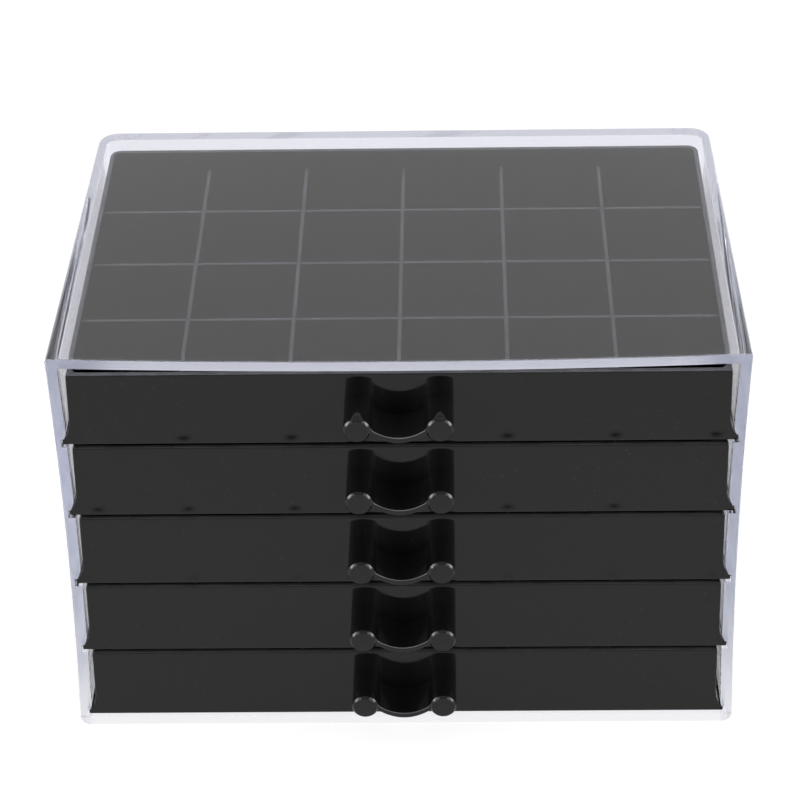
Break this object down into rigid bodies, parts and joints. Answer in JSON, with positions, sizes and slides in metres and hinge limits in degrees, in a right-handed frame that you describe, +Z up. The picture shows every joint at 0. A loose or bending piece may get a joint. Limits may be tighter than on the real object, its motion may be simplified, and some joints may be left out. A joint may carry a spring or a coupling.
{
  "type": "nail polish organizer drawers",
  "caption": "Clear plastic desktop case, open at the front, with black sliding drawers of small cells, each with a two-post pull.",
  "frame": {"origin": "centre of the case's base footprint, on the face that it stands on", "axes": "+Z up; the open mouth and the pulls face -Y; +X is to the right seen from the front"},
  "size_m": [0.241, 0.1828, 0.1603],
  "materials": {
    "clear_case": "clear, faintly lavender injection-moulded polystyrene, polished",
    "black_drawer": "black injection-moulded polystyrene, glossy",
    "black_pull": "black injection-moulded polystyrene, polished"
  },
  "bodies": {
    "case": {"case": "clear_case"},
    "drawer_1": {"tray_1": "black_drawer", "long_dividers_1": "black_drawer", "cross_dividers_1": "black_drawer", "pull_1": "black_pull"},
    "drawer_2": {"tray_2": "black_drawer", "long_dividers_2": "black_drawer", "cross_dividers_2": "black_drawer", "pull_2": "black_pull"},
    "drawer_3": {"tray_3": "black_drawer", "long_dividers_3": "black_drawer", "cross_dividers_3": "black_drawer", "pull_3": "black_pull"},
    "drawer_4": {"tray_4": "black_drawer", "long_dividers_4": "black_drawer", "cross_dividers_4": "black_drawer", "pull_4": "black_pull"},
    "drawer_5": {"tray_5": "black_drawer", "long_dividers_5": "black_drawer", "cross_dividers_5": "black_drawer", "pull_5": "black_pull"}
  },
  "joints": [
    {"name": "drawer_1_slide", "type": "slide", "parent": "case", "child": "drawer_1", "axis": [0, -1, 0], "range_m": [0, 0.14]},
    {"name": "drawer_2_slide", "type": "slide", "parent": "case", "child": "drawer_2", "axis": [0, -1, 0], "range_m": [0, 0.14]},
    {"name": "drawer_3_slide", "type": "slide", "parent": "case", "child": "drawer_3", "axis": [0, -1, 0], "range_m": [0, 0.14]},
    {"name": "drawer_4_slide", "type": "slide", "parent": "case", "child": "drawer_4", "axis": [0, -1, 0], "range_m": [0, 0.14]},
    {"name": "drawer_5_slide", "type": "slide", "parent": "case", "child": "drawer_5", "axis": [0, -1, 0], "range_m": [0, 0.14]}
  ]
}
